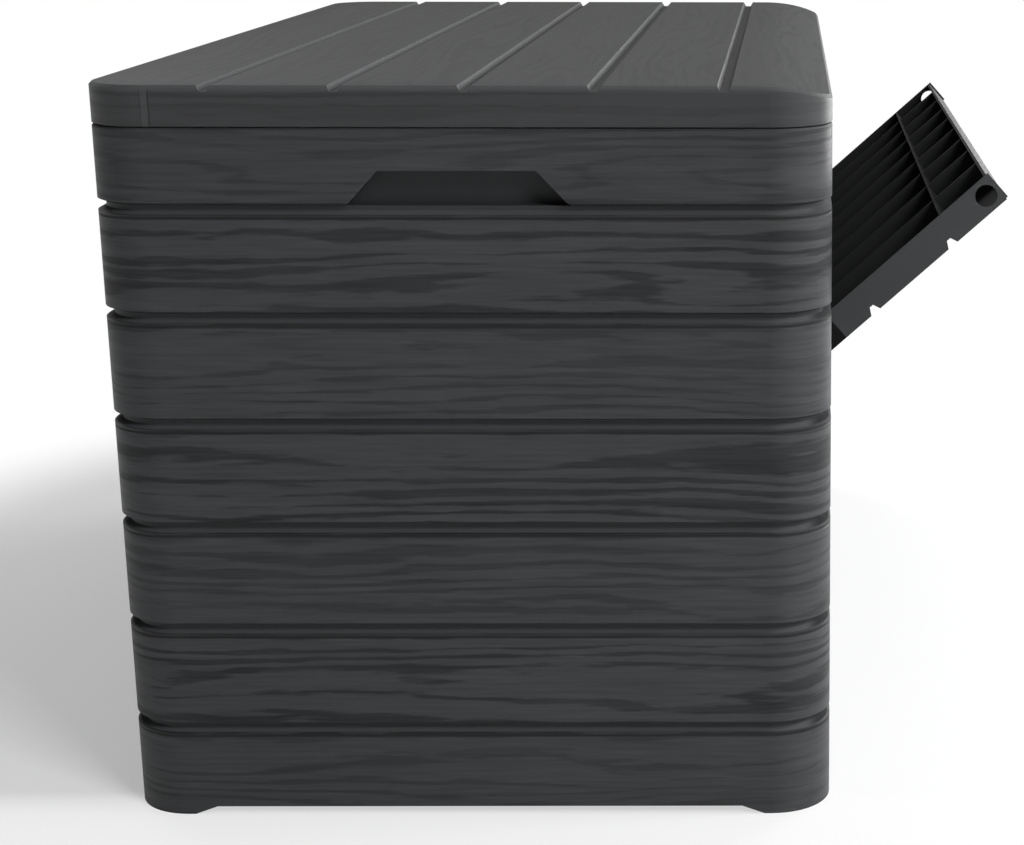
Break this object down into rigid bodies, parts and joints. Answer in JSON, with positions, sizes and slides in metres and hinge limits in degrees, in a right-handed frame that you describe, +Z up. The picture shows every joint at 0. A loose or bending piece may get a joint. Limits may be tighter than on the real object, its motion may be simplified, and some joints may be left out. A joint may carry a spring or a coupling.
{
  "type": "garden storage chest",
  "caption": "Lidded garden storage chest of moulded boards, with a grip pocket in each end and a drop-down door in its front wall.",
  "frame": {"origin": "on the ground under the middle of the chest's walls, in the face of the floor's middle foot", "axes": "+X out of the door, -X towards the lid hinges, +Y along the chest to its far end, +Z up"},
  "size_m": [0.924, 1.27, 0.7448],
  "materials": {
    "board_plastic": "embossed wood grain, charcoal",
    "lid_plastic": "embossed wood grain, charcoal",
    "door_plastic": "embossed wood grain outside, plain inside, charcoal",
    "black_plastic": "fine matt, black",
    "white_plastic": "smooth",
    "pin_steel": "bright zinc",
    "screw_steel": "bright zinc",
    "hinge_steel": "zinc plated sheet"
  },
  "bodies": {
    "chest": {"end_panel_near": "board_plastic", "end_panel_far": "board_plastic", "rear_panel": "board_plastic", "front_panel": "board_plastic", "floor_panel": "board_plastic", "bolt_housing_near": "black_plastic", "bolt_housing_far": "black_plastic", "door_hinge_washer_near": "white_plastic", "door_hinge_washer_far": "white_plastic", "door_hinge_pin_near": "pin_steel", "door_hinge_pin_far": "pin_steel", "joint_screws": "screw_steel", "wall_leaf_screws": "screw_steel", "wall_hinge_leaf_near": "hinge_steel", "lid_hinge_pin_near": "pin_steel", "wall_hinge_leaf_mid": "hinge_steel", "lid_hinge_pin_mid": "pin_steel", "wall_hinge_leaf_far": "hinge_steel", "lid_hinge_pin_far": "pin_steel"},
    "lid": {"lid_shell": "lid_plastic", "lid_leaf_screws": "screw_steel", "lid_hinge_leaf_near": "hinge_steel", "lid_hinge_leaf_mid": "hinge_steel", "lid_hinge_leaf_far": "hinge_steel"},
    "door": {"door_panel": "door_plastic", "door_hinge_block_near": "black_plastic", "door_hinge_block_far": "black_plastic", "hinge_block_screws": "screw_steel"},
    "bolt_near": {"door_bolt_near": "black_plastic"},
    "bolt_far": {"door_bolt_far": "black_plastic"}
  },
  "joints": [
    {"name": "lid_hinge", "type": "hinge", "parent": "chest", "child": "lid", "pos_m": [-0.3665, 0, 0.7043], "axis": [0, -1, 0], "range_deg": [0, 100]},
    {"name": "door_hinge", "type": "hinge", "parent": "chest", "child": "door", "pos_m": [0.3555, 0, 0.45345], "axis": [0, 1, 0], "range_deg": [-48.4, 0]},
    {"name": "near_bolt_slide", "type": "slide", "parent": "chest", "child": "bolt_near", "axis": [0, 1, 0], "range_m": [0, 0.02]},
    {"name": "far_bolt_slide", "type": "slide", "parent": "chest", "child": "bolt_far", "axis": [0, -1, 0], "range_m": [0, 0.02]}
  ]
}
